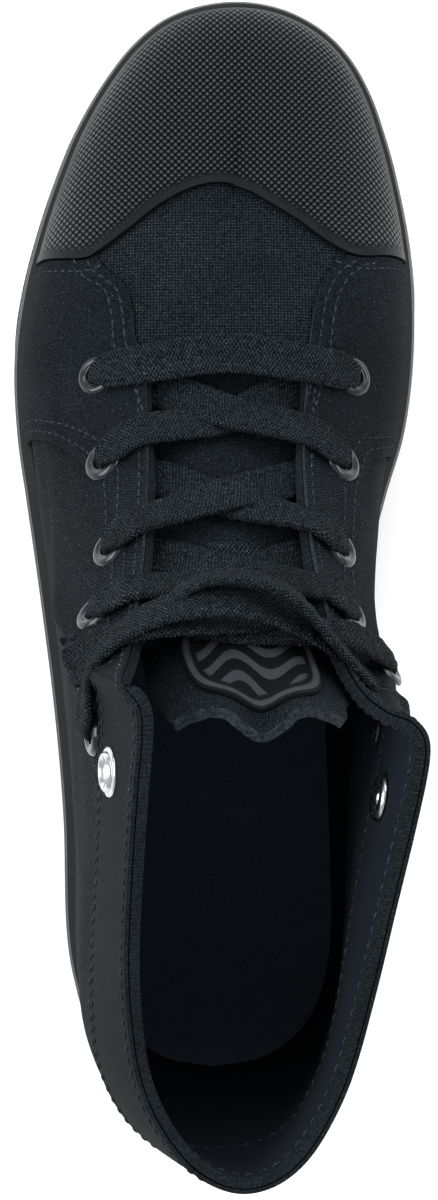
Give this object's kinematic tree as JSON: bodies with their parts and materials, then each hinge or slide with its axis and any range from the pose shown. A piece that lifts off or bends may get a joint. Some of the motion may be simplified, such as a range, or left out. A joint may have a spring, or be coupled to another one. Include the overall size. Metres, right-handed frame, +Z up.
{
  "type": "high top sneaker",
  "caption": "Left high top canvas sneaker with a rubber toe cap and side wall, metal eyelets, flat laces, a folded open collar and a press stud on each flap.",
  "frame": {"origin": "centre of the bounding box on the plane that the sole stands on", "axes": "+Z up, +Y towards the toe, +X towards the inner (medial) side"},
  "size_m": [0.0976, 0.2632, 0.1373],
  "materials": {
    "rubber": "glossy",
    "cap_rubber": "matte, finely knurled",
    "canvas": "matte coarse weave",
    "facing_canvas": "matte fine rib",
    "webbing": "matte woven",
    "lining": "matte",
    "badge_cloth": "satin",
    "black_metal": "glossy black enamel",
    "silver_metal": "polished"
  },
  "bodies": {
    "root": {"outsole": "rubber", "foxing": "rubber", "toe_bumper": "rubber", "insole": "lining", "upper": "canvas", "toe_cap": "cap_rubber", "collar_band": "lining", "eyestay_lateral": "facing_canvas", "eyestay_medial": "facing_canvas", "tongue": "canvas", "tongue_badge": "badge_cloth", "stud_lateral": "silver_metal", "stud_medial": "silver_metal", "lace_bar": "webbing", "lace_crossing_2": "webbing", "lace_crossing_3": "webbing", "lace_crossing_4": "webbing", "lace_arch": "webbing", "eyelet_lateral_1": "black_metal", "eyelet_lateral_2": "black_metal", "eyelet_lateral_3": "black_metal", "eyelet_lateral_4": "black_metal", "eyelet_lateral_5": "black_metal", "eyelet_lateral_6": "black_metal", "eyelet_medial_1": "black_metal", "eyelet_medial_2": "black_metal", "eyelet_medial_3": "black_metal", "eyelet_medial_4": "black_metal", "eyelet_medial_5": "black_metal", "eyelet_medial_6": "black_metal"}
  },
  "joints": []
}
